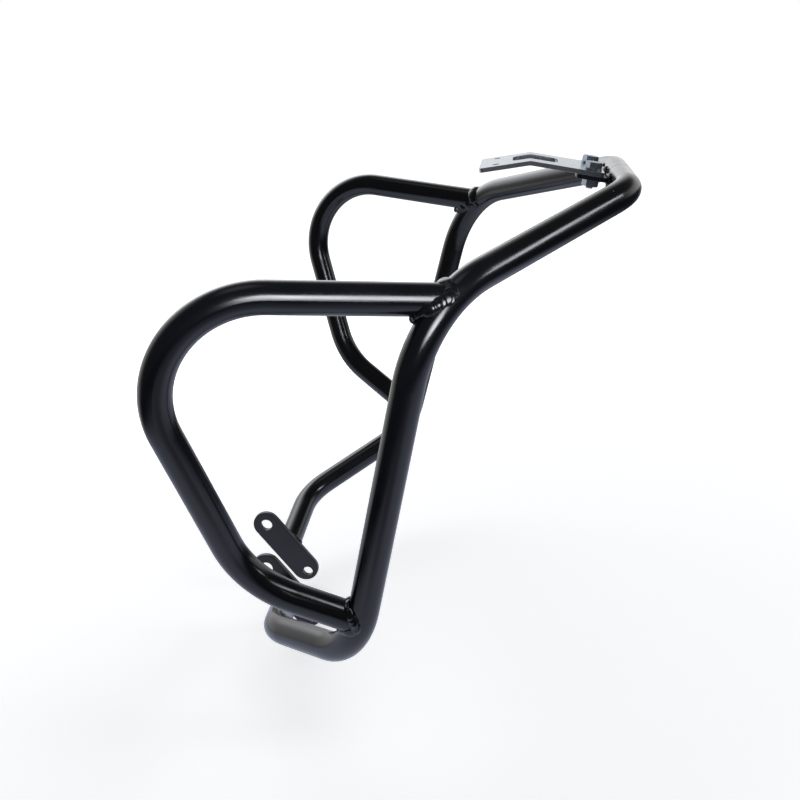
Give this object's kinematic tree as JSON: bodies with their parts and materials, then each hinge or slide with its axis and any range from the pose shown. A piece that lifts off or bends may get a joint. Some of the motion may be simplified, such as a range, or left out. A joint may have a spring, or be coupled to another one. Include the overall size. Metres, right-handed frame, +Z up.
{
  "type": "motorcycle crash bars",
  "caption": "Black tubular crash bars for a motorcycle: left and right halves with a welded hoop on each side and round-ended mount plates, joined at the front by a zinc plated bracket.",
  "frame": {"origin": "middle of the front bracket's two frame holes, on top of the bracket", "axes": "+X to the front of the bike, +Y to its left, +Z up"},
  "size_m": [0.446, 0.6378, 0.443],
  "materials": {
    "powder_black": "satin gloss black powder coat",
    "weld_black": "powder coated weld bead",
    "bright_zinc": "bright zinc plated steel"
  },
  "bodies": {
    "root": {"right_main_tube": "powder_black", "right_hoop_tube": "powder_black", "right_mount_plate": "powder_black", "right_bracket_tab": "powder_black", "right_upper_weld": "weld_black", "right_lower_weld": "weld_black", "right_plate_weld": "weld_black", "right_tab_weld": "weld_black", "left_main_tube": "powder_black", "left_hoop_tube": "powder_black", "left_mount_plate": "powder_black", "left_bracket_tab": "powder_black", "left_upper_weld": "weld_black", "left_lower_weld": "weld_black", "left_plate_weld": "weld_black", "left_tab_weld": "weld_black", "front_bracket": "bright_zinc", "bracket_bolts": "bright_zinc", "bracket_washers": "bright_zinc", "bracket_nuts": "bright_zinc"}
  },
  "joints": []
}
